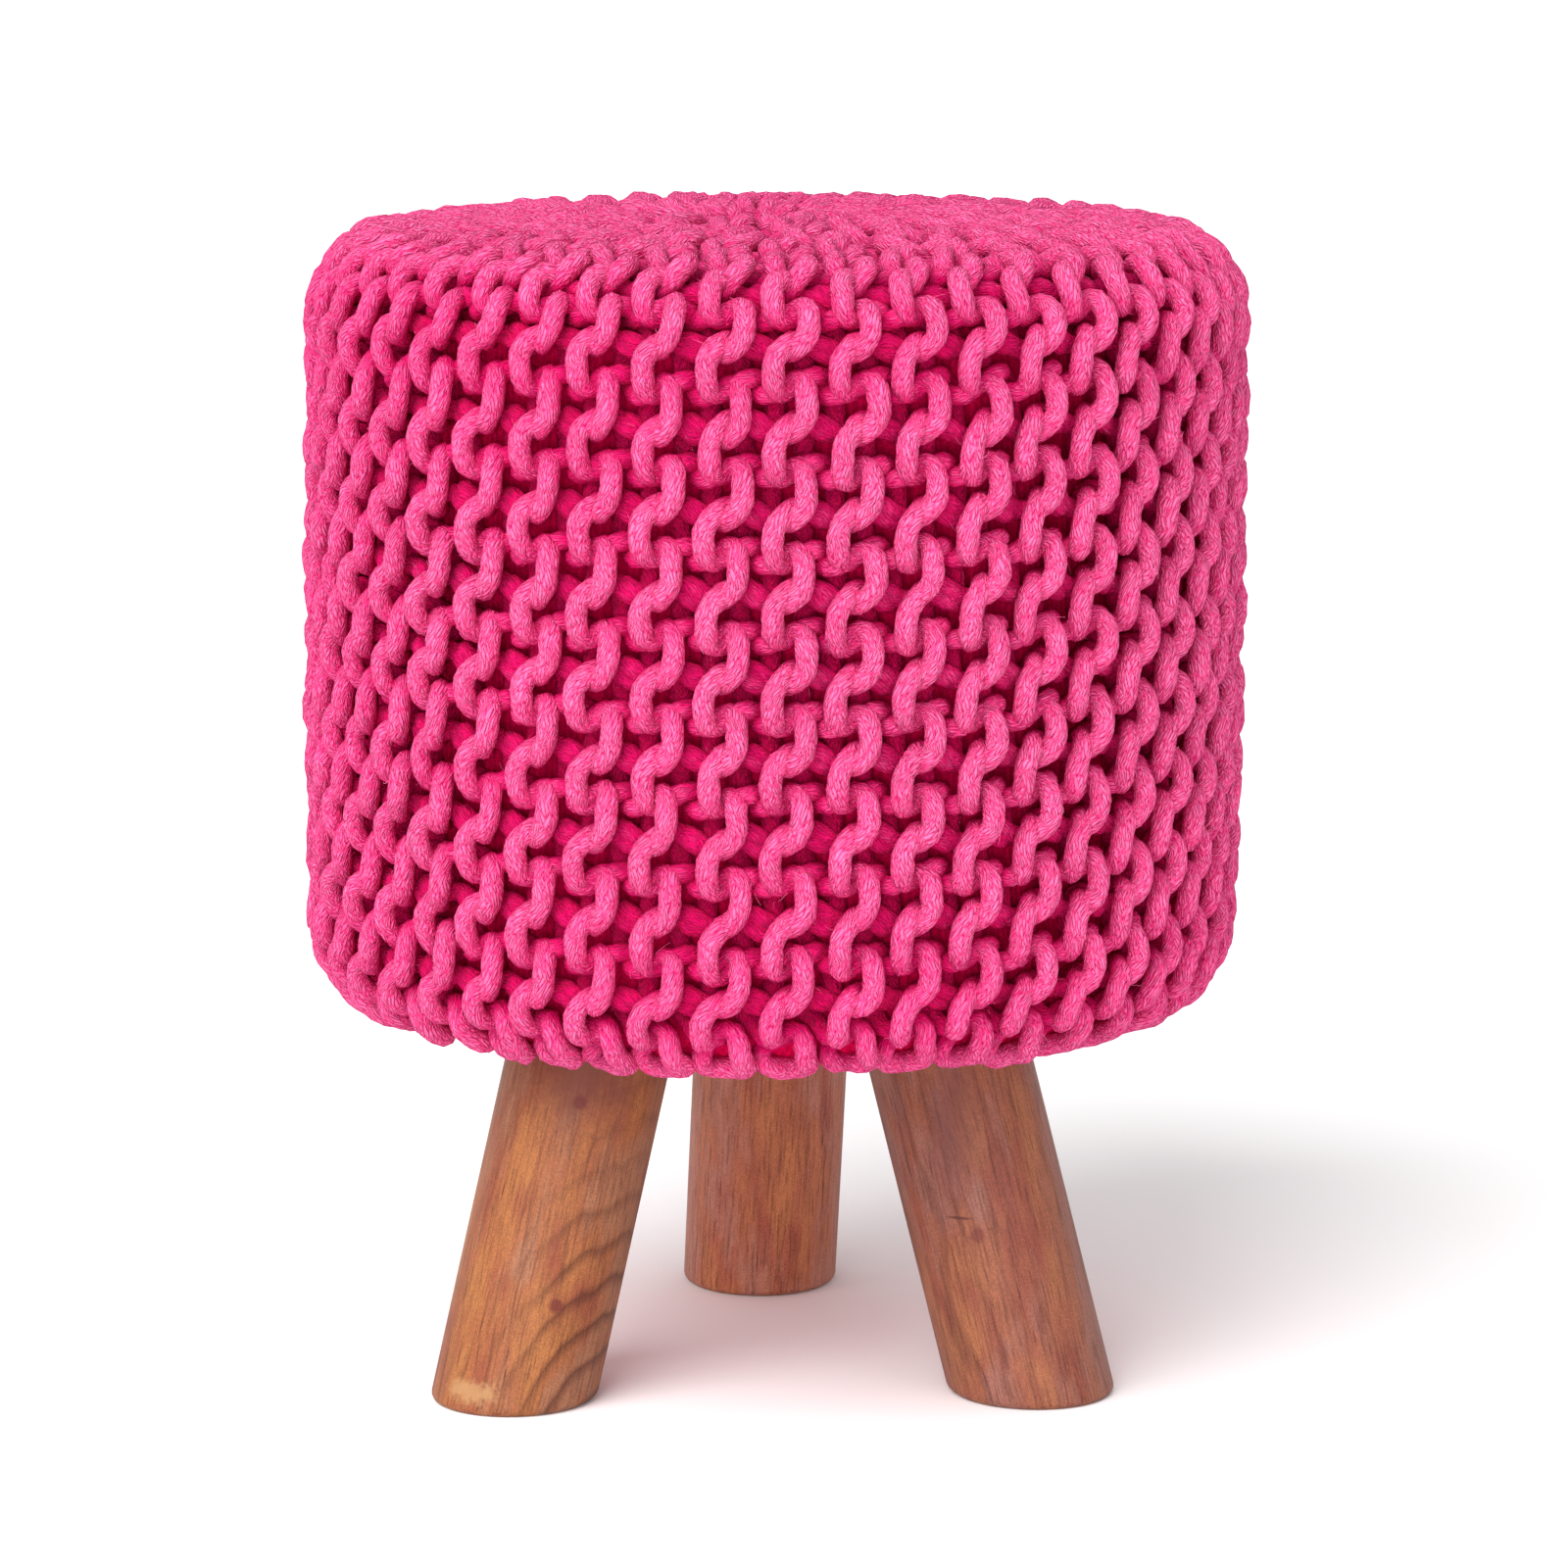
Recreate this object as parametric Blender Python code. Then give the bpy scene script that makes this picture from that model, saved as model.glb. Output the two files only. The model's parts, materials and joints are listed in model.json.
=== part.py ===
"""A round knitted pouf on three splayed round wooden legs.

The pouf is one filled solid: a short drum with soft rounded edges, a slightly crowned top and
the standing ribs of a chunky garter knit, which run up the side and in towards the middle of the
top. Each leg is a turned wooden rod, cut level at the floor and at the pouf's flat underside.

Metres, +Z up. The origin is on the floor, under the middle of the drum. The front is towards -Y.
"""

from math import cos, pi, radians, sin, tau

import bmesh
import bpy
from mathutils import Matrix, Vector

# Drum of knitted cloth, measured over the tops of the ribs
SEAT_RADIUS = 0.1625
SEAT_TOP = 0.406
SEAT_BOTTOM = 0.1295
EDGE_RADIUS = 0.030
CROWN = 0.005
EDGE_STEPS = 5

# Standing ribs of the knit
RIB_COUNT = 46
RIB_DEPTH = 0.0055
RIB_PHASE = radians(-88.25)  # one rib stands almost at the middle of the front
RIB_SECTION = (0.0, 0.22, 1.0, 0.22)  # depth at four even steps, from one crest towards the next

# Middle of the top, where the ribs run together and the yarn is drawn tight
GATHER_RADIUS = 0.010
GATHER_DIP = 0.003

# Flat underside that the legs stand under
BASE_RIM_RADIUS = 0.112
BASE_HEIGHT = SEAT_BOTTOM + RIB_DEPTH

# Legs
LEG_DIAMETER = 0.0562
LEG_SIDES = 40
FOOT_ROUND = 0.0035
FOOT_ROUND_STEPS = 3
SEAT_GAP = 0.0003  # the legs' tops stop this far under the drum's flat base

# Where each leg stands and which way it leans outwards, in metres and degrees, 0 along +X
LEGS = (
    {"name": "leg_front_left", "foot_radius": 0.1050, "foot_at": 212.0, "lean_to": 212.0, "lean": 14.8},
    {"name": "leg_front_right", "foot_radius": 0.1015, "foot_at": 332.5, "lean_to": 332.5, "lean": 15.8},
    {"name": "leg_back", "foot_radius": 0.1040, "foot_at": 92.7, "lean_to": 100.0, "lean": 15.0},
)

KNIT_COLOUR = (0.86, 0.055, 0.22, 1.0)
WOOD_COLOUR = (0.40, 0.165, 0.075, 1.0)


def clear_scene():
    for obj in list(bpy.data.objects):
        bpy.data.objects.remove(obj)


def make_material(name, colour, roughness):
    material = bpy.data.materials.new(name)
    material.use_nodes = True
    shader = material.node_tree.nodes["Principled BSDF"]
    shader.inputs["Base Color"].default_value = colour
    shader.inputs["Roughness"].default_value = roughness
    shader.inputs["Metallic"].default_value = 0.0
    return material


def add_object(name, mesh_data, material):
    """Turns a bmesh into a shaded object of its own."""
    mesh = bpy.data.meshes.new(name)
    bmesh.ops.recalc_face_normals(mesh_data, faces=mesh_data.faces)
    mesh_data.to_mesh(mesh)
    mesh_data.free()
    mesh.materials.append(material)
    mesh.shade_smooth()
    mesh.set_sharp_from_angle(angle=radians(40.0))
    obj = bpy.data.objects.new(name, mesh)
    bpy.context.scene.collection.objects.link(obj)
    return obj


def drum_profile():
    """Sections of the drum from the top's middle, over both edges, to the flat base.

    Each row gives the crest's radius and height, the share of the rib depth there, and the way
    in which the valleys sink: outwards x and up z of the surface's normal.
    """
    flat_radius = SEAT_RADIUS - EDGE_RADIUS
    rows = []
    for share in (0.30, 0.55, 0.80):
        radius = flat_radius * share
        height = SEAT_TOP - CROWN * share**2
        rows.append((radius, height, 1.15 * share - 0.25, (0.0, 1.0)))
    shoulder = SEAT_TOP - CROWN - EDGE_RADIUS
    for step in range(EDGE_STEPS + 1):
        angle = pi / 2 * (1 - step / EDGE_STEPS)
        across, up = cos(angle), sin(angle)
        rows.append((flat_radius + EDGE_RADIUS * across, shoulder + EDGE_RADIUS * up, 1.0, (across, up)))
    heel = SEAT_BOTTOM + EDGE_RADIUS
    for share in (0.33, 0.67):
        rows.append((SEAT_RADIUS, shoulder + (heel - shoulder) * share, 1.0, (1.0, 0.0)))
    for step in range(EDGE_STEPS + 1):
        angle = -pi / 2 * step / EDGE_STEPS
        across, up = cos(angle), sin(angle)
        rows.append((flat_radius + EDGE_RADIUS * across, heel + EDGE_RADIUS * up, 1.0, (across, up)))
    return rows


def add_ring(drum, radius, height, depth, sink):
    """One ring of points round the drum, dipping into the valleys between the ribs."""
    per_rib = len(RIB_SECTION)
    count = RIB_COUNT * per_rib
    ring = []
    for i in range(count):
        angle = RIB_PHASE + tau * i / count
        dip = depth * RIB_SECTION[i % per_rib]
        out = radius - dip * sink[0]
        ring.append(drum.verts.new((out * cos(angle), out * sin(angle), height - dip * sink[1])))
    return ring


def join_rings(drum, upper, lower):
    count = len(upper)
    for i in range(count):
        k = (i + 1) % count
        drum.faces.new((upper[i], lower[i], lower[k], upper[k]))


def make_seat(material):
    """The filled drum with its ribs, its gathered middle and its flat base."""
    drum = bmesh.new()
    gather = add_ring(drum, GATHER_RADIUS, SEAT_TOP - GATHER_DIP, 0.0, (0.0, 1.0))
    drum.faces.new(gather)
    above = gather
    for radius, height, share, sink in drum_profile():
        ring = add_ring(drum, radius, height, RIB_DEPTH * share, sink)
        join_rings(drum, above, ring)
        above = ring
    base = add_ring(drum, BASE_RIM_RADIUS, BASE_HEIGHT, 0.0, (0.0, -1.0))
    join_rings(drum, above, base)
    drum.faces.new(base)
    return add_object("knitted_seat", drum, material)


def leg_axis(leg):
    """The middle of the leg's foot and the direction in which its axis rises."""
    at = radians(leg["foot_at"])
    foot = Vector((leg["foot_radius"] * cos(at), leg["foot_radius"] * sin(at), 0.0))
    to, lean = radians(leg["lean_to"]), radians(leg["lean"])
    rise = Vector((-sin(lean) * cos(to), -sin(lean) * sin(to), cos(lean)))
    return foot, rise


def make_leg(leg, material):
    """A leaning rod cut level at both ends, with its foot's rim rounded over."""
    foot, rise = leg_axis(leg)
    top = BASE_HEIGHT - SEAT_GAP
    rod_length = 2 * top
    turn = Vector((0, 0, 1)).rotation_difference(rise).to_matrix().to_4x4()
    middle = foot + rise * (top / 2)
    rod = bmesh.new()
    bmesh.ops.create_cone(
        rod,
        cap_ends=True,
        segments=LEG_SIDES,
        radius1=LEG_DIAMETER / 2,
        radius2=LEG_DIAMETER / 2,
        depth=rod_length,
        matrix=Matrix.Translation(middle) @ turn,
    )
    for height, outward in ((0.0, -1.0), (top, 1.0)):
        cut = bmesh.ops.bisect_plane(
            rod,
            geom=rod.verts[:] + rod.edges[:] + rod.faces[:],
            plane_co=(0, 0, height),
            plane_no=(0, 0, outward),
            clear_outer=True,
        )
        rim = [e for e in cut["geom_cut"] if isinstance(e, bmesh.types.BMEdge)]
        bmesh.ops.holes_fill(rod, edges=rim, sides=0)
    foot_rim = [e for e in rod.edges if all(abs(v.co.z) < 1e-6 for v in e.verts)]
    bmesh.ops.bevel(
        rod,
        geom=foot_rim,
        offset=FOOT_ROUND,
        segments=FOOT_ROUND_STEPS,
        profile=0.5,
        affect="EDGES",
    )
    return add_object(leg["name"], rod, material)


def main():
    clear_scene()
    knit = make_material("pink_cotton_knit", KNIT_COLOUR, 0.9)
    wood = make_material("oiled_hardwood", WOOD_COLOUR, 0.45)
    make_seat(knit)
    for leg in LEGS:
        make_leg(leg, wood)


main()
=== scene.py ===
"""A round pouf in chunky garter knit on three leaning wooden legs, built around its CAD frame.

The knit is real yarn. Every ridge is one strand, which runs down the drum as one row of loops,
turns at the lower edge and runs back up through them as another row. Ridges end one after another
towards the middle of the top, as short rows do. The legs are turned rods with oiled grain.

Metres, +Z up, the front towards -Y.
"""

import json
from math import cos, pi, radians, sin, tau

import bmesh
import bpy
import numpy as np
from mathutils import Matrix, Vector

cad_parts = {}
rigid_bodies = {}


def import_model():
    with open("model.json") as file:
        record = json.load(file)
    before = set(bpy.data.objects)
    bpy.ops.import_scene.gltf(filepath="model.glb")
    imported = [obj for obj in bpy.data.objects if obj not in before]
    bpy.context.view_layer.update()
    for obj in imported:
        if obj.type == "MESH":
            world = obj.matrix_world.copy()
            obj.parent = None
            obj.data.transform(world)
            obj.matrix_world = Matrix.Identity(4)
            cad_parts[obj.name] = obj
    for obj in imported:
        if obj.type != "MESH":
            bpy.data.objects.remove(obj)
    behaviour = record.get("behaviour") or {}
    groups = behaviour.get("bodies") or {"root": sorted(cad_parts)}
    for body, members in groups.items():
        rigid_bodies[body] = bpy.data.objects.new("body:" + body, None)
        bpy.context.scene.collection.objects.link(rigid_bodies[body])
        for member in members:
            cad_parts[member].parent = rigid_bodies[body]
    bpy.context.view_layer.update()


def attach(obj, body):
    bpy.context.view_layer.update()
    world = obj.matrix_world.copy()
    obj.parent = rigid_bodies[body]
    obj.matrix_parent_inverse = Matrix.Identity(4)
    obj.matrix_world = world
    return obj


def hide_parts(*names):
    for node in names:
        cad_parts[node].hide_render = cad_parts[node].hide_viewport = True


bl_info = {
    "name": "Knitted Pouf",
    "version": (1, 0, 0),
    "blender": (4, 5, 0),
    "location": "3D View > Sidebar > Pouf",
    "description": "Builds a round garter-knit pouf on three leaning wooden legs",
    "category": "Object",
}

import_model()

SEAT_NODE = "knitted_seat"
BODY = "root"
MM = 0.001

# ----------------------------------------
# The drum. Its outline is measured along the middle line of the yarn where a ridge stands highest.

CROWN_LINE_RADIUS = 159.0 * MM
EDGE_LINE_RADIUS = 26.4 * MM
FLAT_RADIUS = CROWN_LINE_RADIUS - EDGE_LINE_RADIUS
HEEL_HEIGHT = 160.0 * MM
SHOULDER_HEIGHT = 370.6 * MM
CROWN_RISE = 5.0 * MM
EDGE_LENGTH = EDGE_LINE_RADIUS * pi / 2
SIDE_LENGTH = SHOULDER_HEIGHT - HEEL_HEIGHT
LINE_LENGTH = 2 * EDGE_LENGTH + SIDE_LENGTH + FLAT_RADIUS
UNDERSIDE_HEIGHT = 135.0 * MM
LEAN = 1.8 * MM  # the drum's shoulder stands this far to the right of its heel
BELLY = 1.3 * MM  # how much narrower the drum is at heel and shoulder than half way up
GATHER_SHIFT = -12.0 * MM  # the ridges meet this far to the side of the middle of the top
TOP_FLATNESS = 0.34  # share by which the knit's relief is pressed flat on the top
PRESSED_FROM = 12.0 * MM  # the pressing begins this far before the top's rim
PRESSED_OVER = 30.0 * MM  # and is whole after this length

# ----------------------------------------
# The knit. Sizes of one loop are in millimetres: across the ridge, along it and out of the drum.

RIDGE_COUNT = 46
RIDGE_PHASE = radians(-88.25)
RIDGE_PITCH = 21.6
STITCH_PITCH = 26.8
LOOP_HEIGHT = 6.4  # how far the middle line of a loop stands out of the cloth's middle
SECOND_ROW_SHIFT = -11.0
FIRST_LOOP_HEIGHT = 271.1 * MM  # height of one loop's middle on the drum, which sets the rest
FIRST_ALONG = EDGE_LENGTH + FIRST_LOOP_HEIGHT - HEEL_HEIGHT  # its place on the drum's outline
LOWEST_LOOP = -5
FIRST_ROW_START = -0.1  # where the first row's lowest loop starts, of 2 pi a stitch
SECOND_ROW_END = 1.35  # where the second row's last loop leaves for the lower edge

# The front half of one stitch of the first row, from under its neighbour below to under the one
# above, in millimetres across the ridge, along it and out of the cloth. The back half is the same
# shape turned half round, and the second row is the first one turned upside down.
LOOP_POINTS = (
    {"across": -5.4, "along": -7.4, "out": -1.6},
    {"across": -3.0, "along": -8.0, "out": -1.4},
    {"across": -1.2, "along": -7.9, "out": 1.2},
    {"across": 0.8, "along": -6.6, "out": 4.2},
    {"across": 3.2, "along": -4.4, "out": 6.2},
    {"across": 5.0, "along": -1.2, "out": 6.8},
    {"across": 5.5, "along": 2.4, "out": 6.6},
    {"across": 5.2, "along": 6.4, "out": 5.8},
    {"across": 4.6, "along": 9.4, "out": 3.6},
    {"across": 2.2, "along": 10.4, "out": 1.2},
    {"across": -1.6, "along": 8.6, "out": 0.8},
)
LOOP_SOFTNESS = 9  # waves kept in the loop's line, fewer for a rounder loop
CURVE_STEPS = 12  # points from one of the loop's given points to the next
LOOP_STEPS = 96  # even points from which a stitch's waves are worked out
STRAND_STEPS = 64  # points in each stitch of a strand
UNEVENNESS = (0.65, 0.8, 0.45)  # how far stitches stray, in millimetres across, along and out

# How the strand turns at the lower edge, from the second row into the first, in millimetres
EDGE_TURN = (
    {"across": -3.0, "along": -133.0, "out": -0.6},
    {"across": -6.2, "along": -136.8, "out": 1.0},
    {"across": -7.8, "along": -140.6, "out": 4.0},
    {"across": -5.2, "along": -144.6, "out": 5.6},
    {"across": 0.0, "along": -146.0, "out": 6.2},
    {"across": 5.2, "along": -144.2, "out": 6.2},
    {"across": 7.6, "along": -139.6, "out": 6.4},
)
TURN_STEPS = 9  # points from one of the turn's given points to the next
TURN_LAP = 9  # points of each row that are smoothed together with the turn
TURN_SMOOTHING = 5  # rounds of that smoothing
TURN_WIDTHS = (0.82, 1.12)  # narrowest and widest turn, as a share
TURN_SHIFT = (0.8, 1.1, 0.5)  # how far a turn strays as a whole
TURN_UNEVENNESS = (0.6, 0.5, 0.4)  # how far each of its points strays

# Short rows: how far from the middle of the top the ridges end, repeated round the drum
RIDGE_ENDS = (0.077, 0.011, 0.099, 0.055, 0.121, 0.033)
NARROWING = 0.024  # length over which a ridge tapers away before its end
END_LAP = 0.004  # how far the taper reaches past the end
LEAST_WIDTH = 0.3  # width that the innermost ridges keep, as a share
SINK_LENGTH = 0.012  # length over which a strand sinks into the drum at its end
SINK_DEPTH = 0.009

# How the whole knit drifts round the drum, along its outline and out of it, in slow waves
DRIFTS = {"turn": 1.1 * MM, "along": 1.2 * MM, "out": 0.7 * MM}
DRIFT_WAVES = 7
DRIFT_GAIN = 1.7  # makes up for the waves' cancelling each other out in part

YARN_SIDES = 10
YARN_STEP = 2.6  # millimetres along the yarn from one ring of points to the next
YARN_LUMPS = 0.042  # unevenness of the yarn's surface, as a share of its radius
LUMP_LIMIT = 1.8  # no lump is more than this many times the usual one
TIGHT_YARN = 0.88  # thickness where the strand passes between the ridges, as a share
LOOSE_HEIGHT = 5.5  # millimetres out of the cloth's middle where the yarn is thickest
NARROW_YARN = 0.80  # thickness where a ridge has tapered away, as a share
FULL_WIDTH = 0.9  # width of a ridge, as a share, from which its yarn is thickest
SWELLING = 0.04  # how far the yarn swells and thins along its length, as a share
SWELLS = (190.0, 67.0)  # two waves that make up the swelling, in radians a metre
SECTORS = 6
# Between these depths the yarn's colour goes from painted shade to painted highlight
DEEPEST, HIGHEST = -11.0 * MM, 4.2 * MM  # how far out of the crown line the yarn is darkest, palest

FIBRES_A_RING = 0.085  # stray hairs for each ring of points along the yarn
FIBRE_RADIUS = 0.06 * MM
FIBRE_LENGTHS = (0.0022, 0.0060)
FIBRE_POINTS = 5
FIBRE_SIDES = 3
FIBRE_TIP = 0.5  # thickness at the tip, as a share
FIBRE_ROOT = 0.9  # where a hair starts, as a share of the yarn's radius
FIBRE_SWAY = 0.9  # how far hairs stand off to either side of straight out
FIBRE_OFF, FIBRE_SLANT = 0.55, 0.3  # how a hair sets off, out and aside
FIBRE_CURL, FIBRE_DROOP = 0.8, 0.35  # how its tip bends, along the yarn and back to it
UPRIGHT_FROM = 12.0 * MM  # hairs stand upright from this far above the drum's shoulder

SEED = 46


def smooth(x):
    """A soft rise from 0 to 1 as x does the same."""
    x = np.clip(x, 0.0, 1.0)
    return x * x * (3 - 2 * x)


def unit(vectors):
    return vectors / np.linalg.norm(vectors, axis=-1, keepdims=True)


def drum_outline(along, out):
    """Radius and height of the drum's outline, and how far it has turned onto the top, 0 to 1. The
    length along it starts straight below the lower edge, and out is measured from the crown line."""
    lower = np.clip(along / EDGE_LENGTH, None, 1.0)
    upper = np.clip((along - EDGE_LENGTH - SIDE_LENGTH) / EDGE_LENGTH, 0.0, 1.0)
    tilt = (lower - 1 + upper) * pi / 2
    side = np.clip(along - EDGE_LENGTH, 0.0, SIDE_LENGTH)
    inward = np.clip(along - 2 * EDGE_LENGTH - SIDE_LENGTH, 0.0, None)
    narrow = BELLY * (2 * side / SIDE_LENGTH - 1) ** 2
    radius = FLAT_RADIUS + (EDGE_LINE_RADIUS + out - narrow) * np.cos(tilt) - inward
    height = HEEL_HEIGHT + side + (EDGE_LINE_RADIUS + out) * np.sin(tilt)
    crown = CROWN_RISE * (1 - (np.clip(radius, 0, FLAT_RADIUS) / FLAT_RADIUS) ** 2)
    return radius, height + crown * upper, upper


def on_drum(turn, along, out):
    """Points of the drum from the angle round it and the place on its outline."""
    radius, height, upper = drum_outline(along, out)
    rise = np.clip((height - HEEL_HEIGHT) / SIDE_LENGTH, 0.0, 1.0)
    gathered = (1 - np.clip(radius / FLAT_RADIUS, 0.0, 1.0)) ** 2 * upper
    shift = LEAN * rise + GATHER_SHIFT * gathered
    return np.stack([radius * np.cos(turn) + shift, radius * np.sin(turn), height], axis=-1)


def drum_depth(points):
    """How far points stand out of the crown line, without the top's slight crown."""
    radius = np.hypot(points[:, 0], points[:, 1])
    crown = CROWN_RISE * (1 - np.clip(radius / FLAT_RADIUS, 0.0, 1.0) ** 2)
    height = points[:, 2] - np.where(points[:, 2] > SHOULDER_HEIGHT, crown, 0.0)
    middle, half = (SHOULDER_HEIGHT + HEEL_HEIGHT) / 2, SIDE_LENGTH / 2
    out = np.stack([radius - FLAT_RADIUS, np.abs(height - middle) - half], axis=-1)
    outside = np.linalg.norm(np.maximum(out, 0.0), axis=1)
    return outside + np.minimum(out.max(axis=1), 0.0) - EDGE_LINE_RADIUS


def ridge_end(ridge):
    """How far from the middle of the top a ridge ends."""
    return RIDGE_ENDS[ridge % len(RIDGE_ENDS)]


class RidgeMap:
    """Where each ridge runs round the drum, narrowing towards its end as the short rows do."""

    LINES = 260
    BELOW, ABOVE = 0.05, 0.02  # how far the map reaches past the outline's ends

    def __init__(self):
        self.low, self.high = -self.BELOW, LINE_LENGTH + self.ABOVE
        along = np.linspace(self.low, self.high, self.LINES)
        ends = np.array([ridge_end(ridge) for ridge in range(RIDGE_COUNT)])[:, None]
        widths = smooth((LINE_LENGTH - along - ends + END_LAP) / NARROWING)
        widths = np.where(ends == ends.min(), np.maximum(widths, LEAST_WIDTH), widths)
        self.share = widths / widths.sum(axis=0)
        edge = np.concatenate([np.zeros((1, self.LINES)), np.cumsum(self.share, axis=0)])
        halves = np.empty((2 * RIDGE_COUNT + 1, self.LINES))
        halves[0::2] = edge
        halves[1::2] = (edge[:-1] + edge[1:]) / 2
        self.turns = halves * tau - halves[1] * tau

    def line(self, along):
        """The map's line for a place on the outline, as a number with its fraction."""
        return (along - self.low) / (self.high - self.low) * (self.LINES - 1)

    def turn(self, ridge, along):
        """Angle round the drum of a place counted in ridges, whose middles are whole numbers."""
        rounds = np.floor((ridge + 0.5) / RIDGE_COUNT)
        place = (ridge + 0.5 - rounds * RIDGE_COUNT) * 2
        first = np.clip(place.astype(int), 0, 2 * RIDGE_COUNT - 1)
        part = place - first
        line = np.clip(self.line(along), 0, self.LINES - 1.001)
        row = line.astype(int)
        mix = line - row

        def at(half):
            return self.turns[half, row] * (1 - mix) + self.turns[half, row + 1] * mix

        return RIDGE_PHASE + rounds * tau + at(first) * (1 - part) + at(first + 1) * part

    def width(self, ridge, along):
        """Width of a ridge on the drum, as a share of its full width on the side."""
        share = np.interp(self.line(along), np.arange(self.LINES), self.share[ridge])
        radius = drum_outline(along, 0.0)[0]
        return share * RIDGE_COUNT * radius / CROWN_LINE_RADIUS


def drift(rng, size):
    """A smooth uneven field over the drum, as a sum of slow waves: waves round the drum, radians
    a metre along its outline, start and strength of each."""
    waves = [
        (rng.integers(1, 9), rng.uniform(8, 45), rng.uniform(0, tau), rng.uniform(0.4, 1.0))
        for _ in range(DRIFT_WAVES)
    ]
    norm = size / sum(strength for *_, strength in waves) * DRIFT_GAIN

    def field(turn, along):
        return norm * sum(a * np.sin(n * turn + k * along + p) for n, k, p, a in waves)

    return field


def smooth_curve(points, fine):
    """Points of a smooth curve through all but the first and last of the given ones."""
    share = (np.arange(fine) / fine)[None, :, None]
    p0, p1, p2, p3 = (points[i : len(points) - 3 + i, None] for i in range(4))
    bend = (2 * p0 - 5 * p1 + 4 * p2 - p3) * share**2 + (3 * p1 - p0 - 3 * p2 + p3) * share**3
    return ((2 * p1 + (p2 - p0) * share + bend) / 2).reshape(-1, 3)


def run_along(points):
    """The length along a line from its start to each of its points."""
    gaps = np.linalg.norm(np.diff(points, axis=0), axis=1)
    return np.concatenate([[0.0], np.cumsum(gaps)])


def between(places, run, points):
    """Points at the given places of a line whose points lie at run."""
    return np.stack([np.interp(places, run, points[:, i]) for i in range(3)], axis=-1)


def even_steps(points, count):
    """That many evenly spaced points along a line, its last end left out."""
    run = run_along(points)
    return between(np.linspace(0.0, run[-1], count, endpoint=False), run, points)


def points_of(rows):
    """A table's rows as points."""
    return np.array([[row["across"], row["along"], row["out"]] for row in rows])


def loop_waves():
    """The waves that make up the first row's strand, and where in a stitch it stands highest."""
    front = points_of(LOOP_POINTS)
    back = front * (-1, 1, -1) + (-RIDGE_PITCH / 2, STITCH_PITCH / 2, 0)
    stitch = np.concatenate([front, back])
    stitches = [stitch + (0, STITCH_PITCH * k, 0) for k in (-1, 0, 1)]
    curve = smooth_curve(np.concatenate(stitches), CURVE_STEPS)
    first = (len(stitch) - 1) * CURVE_STEPS
    even = even_steps(curve[first : first + len(stitch) * CURVE_STEPS + 1], LOOP_STEPS)
    middle = np.argmax(even[:, 0]) / LOOP_STEPS
    even[:, 1] -= STITCH_PITCH * np.arange(LOOP_STEPS) / LOOP_STEPS
    return np.fft.rfft(even, axis=0)[:LOOP_SOFTNESS] / LOOP_STEPS, middle


WAVES, WAVES_START = loop_waves()


def loop_path(angle):
    """The first row's strand in millimetres across, along and out. The angle is 2 pi a stitch."""
    part = angle / tau + WAVES_START
    points = np.zeros((len(part), 3))
    for count, wave in enumerate(WAVES):
        turned = np.exp(1j * tau * count * part)[:, None] * wave[None]
        points += turned.real * (2 if count else 1)
    points[:, 1] += STITCH_PITCH * part
    return points


def uneven_stitches(rng, angle):
    """Small offsets that change from half a stitch to the next."""
    knots = angle / pi
    first = int(np.floor(knots.min())) - 1
    count = int(np.ceil(knots.max())) - first + 3
    offsets = rng.normal(0.0, 1.0, (count, 3)) * np.array(UNEVENNESS)
    return between(knots, np.arange(count) + first, offsets)


def smooth_chain(points, rounds):
    """Evens out a line's bends between its two ends."""
    for _ in range(rounds):
        inner = (points[:-2] + 2 * points[1:-1] + points[2:]) / 4
        points = np.concatenate([points[:1], inner, points[-1:]])
    return points


def ridge_strand(ridge, rng):
    """The whole strand of one ridge in millimetres across, along and out of the cloth's middle:
    down as the second row, round the lower edge, and up as the first."""
    top = (LINE_LENGTH - ridge_end(ridge) - FIRST_ALONG) / MM
    step = tau / STRAND_STEPS
    up = np.arange(tau * LOWEST_LOOP + FIRST_ROW_START, tau * top / STITCH_PITCH, step)
    first_row = loop_path(up) + uneven_stitches(rng, up)
    down_start = -tau * (top - SECOND_ROW_SHIFT) / STITCH_PITCH
    down = np.arange(down_start, -tau * (LOWEST_LOOP + 1) + SECOND_ROW_END, step)
    second_row = loop_path(down) * (-1.0, -1.0, 1.0) + (0.0, SECOND_ROW_SHIFT, 0.0)
    second_row += uneven_stitches(rng, down)
    turn = points_of(EDGE_TURN) * (rng.uniform(*TURN_WIDTHS), 1.0, 1.0)
    turn += rng.normal(0.0, 1.0, (1, 3)) * TURN_SHIFT
    turn += rng.normal(0.0, 1.0, turn.shape) * TURN_UNEVENNESS
    ends = second_row[[-TURN_LAP, -1]], first_row[[0, TURN_LAP - 1]]
    bridge = smooth_curve(np.concatenate([ends[0], turn, ends[1]]), TURN_STEPS)[1:]
    middle = np.concatenate([second_row[-TURN_LAP:], bridge, first_row[:TURN_LAP]])
    middle = smooth_chain(middle, TURN_SMOOTHING)
    return np.concatenate([second_row[:-TURN_LAP], middle, first_row[TURN_LAP:]])


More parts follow.
